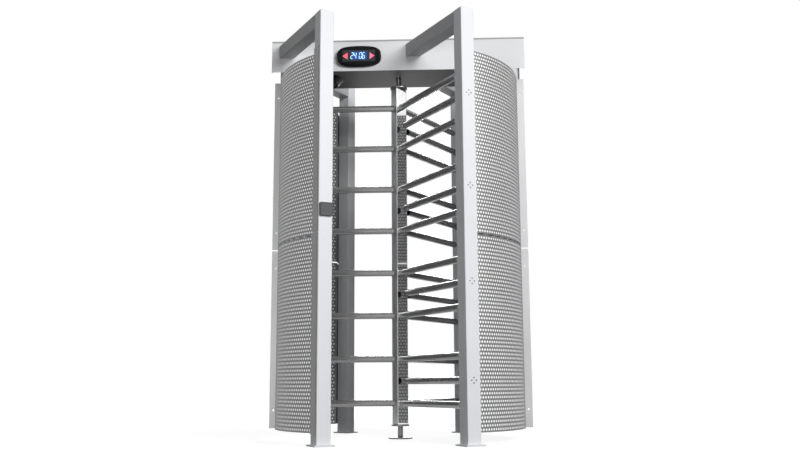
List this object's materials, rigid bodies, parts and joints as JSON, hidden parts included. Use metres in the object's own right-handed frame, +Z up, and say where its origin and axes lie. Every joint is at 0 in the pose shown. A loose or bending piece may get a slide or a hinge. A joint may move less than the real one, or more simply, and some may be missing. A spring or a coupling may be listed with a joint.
{
  "type": "full height turnstile",
  "caption": "Full height turnstile with a barred rotor on a square column, an interleaved fixed barrier, perforated curved side walls, square posts and a header with a display.",
  "frame": {"origin": "on the floor, on the rotor's axis, which is the centre of the object's plan", "axes": "+Z up along the rotor column, +X towards the fixed barrier, -Y towards the side with the display and the reader"},
  "size_m": [1.526, 1.4752, 2.3513],
  "materials": {
    "satin_steel": "satin",
    "shell_steel": "satin",
    "rotor_steel": "fine brushed",
    "polished_steel": "polished",
    "machined_steel": "machined",
    "bearing_bronze": "machined",
    "motor_paint": "semi-matte",
    "board_green": "matte",
    "dark_plastic": "fine grain",
    "reader_plastic": "fine grain",
    "screen_blue": "glossy",
    "lamp_grey": "glossy"
  },
  "bodies": {
    "frame": {"post_front_left": "satin_steel", "post_front_right": "satin_steel", "post_back_left": "satin_steel", "post_back_right": "satin_steel", "overhead_arm_front_left": "satin_steel", "overhead_arm_front_right": "satin_steel", "overhead_arm_back_left": "satin_steel", "overhead_arm_back_right": "satin_steel", "header_tray": "satin_steel", "header_fascia_front": "satin_steel", "header_fascia_back": "satin_steel", "header_lid": "satin_steel", "left_shell_front_upper": "shell_steel", "left_shell_front_lower": "shell_steel", "left_shell_back_upper": "shell_steel", "left_shell_back_lower": "shell_steel", "right_shell_front_upper": "shell_steel", "right_shell_front_lower": "shell_steel", "right_shell_back_upper": "shell_steel", "right_shell_back_lower": "shell_steel", "floor_pivot": "machined_steel", "barrier_arm_front_1": "rotor_steel", "barrier_arm_front_2": "rotor_steel", "barrier_arm_front_3": "rotor_steel", "barrier_arm_front_4": "rotor_steel", "barrier_arm_back_1": "rotor_steel", "barrier_arm_back_2": "rotor_steel", "barrier_arm_back_3": "rotor_steel", "barrier_arm_back_4": "rotor_steel", "top_bearing": "machined_steel", "gear_motor": "motor_paint", "solenoid_front": "motor_paint", "solenoid_back": "motor_paint", "control_board": "board_green", "display_housing": "dark_plastic", "display_screen": "screen_blue", "card_reader": "reader_plastic", "lamp_housing": "dark_plastic", "lamp_lens": "lamp_grey"},
    "rotor": {"rotor_column": "polished_steel", "arm_set_1": "rotor_steel", "arm_set_2": "rotor_steel", "arm_set_3": "rotor_steel", "arm_set_4": "rotor_steel", "arm_set_5": "rotor_steel", "arm_set_6": "rotor_steel", "arm_set_7": "rotor_steel", "arm_set_8": "rotor_steel", "rotor_bottom_plate": "machined_steel", "rotor_top_plate": "machined_steel", "lower_bearing_cup": "bearing_bronze", "drive_spindle": "polished_steel", "lock_disc": "machined_steel", "drive_gear": "machined_steel"},
    "pinion": {"motor_pinion": "bearing_bronze"},
    "pawl_front": {"lock_pawl_front": "machined_steel"},
    "pawl_back": {"lock_pawl_back": "machined_steel"},
    "plunger_front": {"plunger_front": "polished_steel"},
    "plunger_back": {"plunger_back": "polished_steel"}
  },
  "joints": [
    {"name": "rotor_spin", "type": "hinge", "parent": "frame", "child": "rotor", "pos_m": [0, 0, 0.081], "axis": [0, 0, 1], "continuous": true},
    {"name": "pinion_spin", "type": "hinge", "parent": "frame", "child": "pinion", "pos_m": [0.104, 0, 2.237], "axis": [0, 0, 1], "continuous": true},
    {"name": "pawl_front_turn", "type": "hinge", "parent": "frame", "child": "pawl_front", "pos_m": [-0.06, -0.09, 2.211], "axis": [0, 0, 1], "range_deg": [0, 11.5]},
    {"name": "pawl_back_turn", "type": "hinge", "parent": "frame", "child": "pawl_back", "pos_m": [-0.06, 0.09, 2.211], "axis": [0, 0, -1], "range_deg": [0, 11.5]},
    {"name": "plunger_front_slide", "type": "slide", "parent": "frame", "child": "plunger_front", "axis": [0, -1, 0], "range_m": [0, 0.009]},
    {"name": "plunger_back_slide", "type": "slide", "parent": "frame", "child": "plunger_back", "axis": [0, 1, 0], "range_m": [0, 0.009]}
  ],
  "couplings": [
    {"joint": "pinion_spin", "follows": "rotor_spin", "ratio": -2.25},
    {"joint": "plunger_front_slide", "follows": "pawl_front_turn", "m_per_rad": 0.0425},
    {"joint": "plunger_back_slide", "follows": "pawl_back_turn", "m_per_rad": 0.0425}
  ]
}
